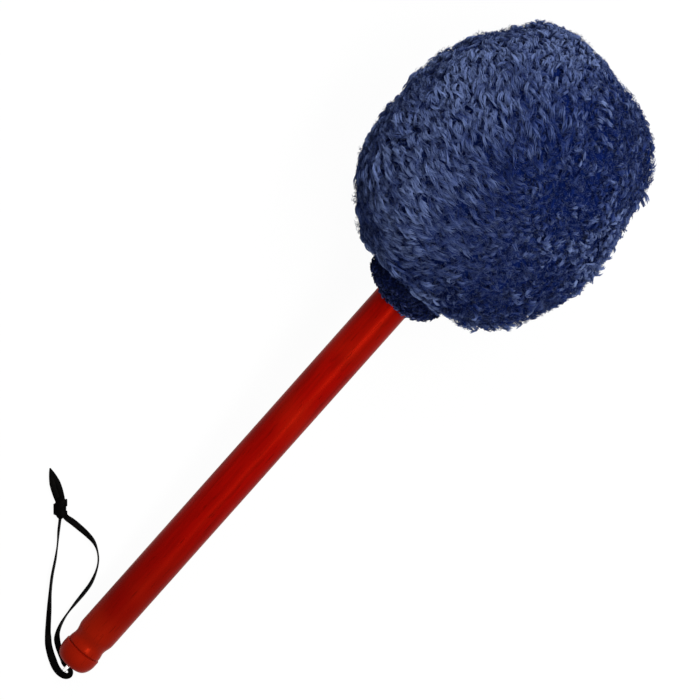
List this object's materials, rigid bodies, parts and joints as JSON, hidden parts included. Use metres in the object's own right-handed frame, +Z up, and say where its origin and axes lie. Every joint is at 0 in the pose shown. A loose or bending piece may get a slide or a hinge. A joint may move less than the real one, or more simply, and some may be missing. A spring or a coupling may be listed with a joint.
{
  "type": "percussion mallet",
  "caption": "Large soft gong mallet: turned wooden handle with a rounded knob, padded head under a fleece cover, and a leather wrist lace in a screw eye.",
  "frame": {"origin": "middle of the underside of the mallet's box, on the table it lies on; the lace is not counted", "axes": "+X level, from the knob towards the head; +Z up; the handle slopes up towards the head in the XZ plane"},
  "size_m": [0.4378, 0.1507, 0.145],
  "materials": {
    "stained_wood": "red stain under a satin lacquer, fine open grain along the handle",
    "bright_steel": "bright nickel-plated wire",
    "core_wood": "plain turned wood",
    "core_steel": "zinc plated",
    "felt": "dense wool felt",
    "batting": "loose white batting",
    "cotton": "plain cotton",
    "waxed_thread": "waxed linen thread",
    "black_cord": "round cotton cord",
    "fleece": "deep slate-navy pile fleece",
    "knit_hem": "dark knit backing of the fleece, gathered",
    "lace_leather": "black flat leather lace, soft sheen"
  },
  "bodies": {
    "mallet": {"handle": "stained_wood", "screw_eye": "bright_steel", "core_drum": "core_wood", "core_weight": "core_steel", "core_washer": "core_steel", "core_screw": "core_steel", "felt_disc_back": "felt", "felt_disc_front": "felt", "felt_wrap_inner": "felt", "felt_wrap_outer": "felt", "padding": "batting", "liner_bag": "cotton", "liner_tie": "waxed_thread", "fleece_cover": "fleece", "cover_hem": "knit_hem", "draw_cord": "black_cord", "lace_at_eye": "lace_leather"},
    "lace_loop": {"lace_outer_strand": "lace_leather", "lace_inner_strand": "lace_leather", "lace_knot": "lace_leather", "lace_tail_upper": "lace_leather", "lace_tail_lower": "lace_leather"}
  },
  "joints": [
    {"name": "lace_swing", "type": "hinge", "parent": "mallet", "child": "lace_loop", "pos_m": [-0.21423, -0.00035, 0.00894], "axis": [0, 0, 1], "range_deg": [0, 210]}
  ]
}
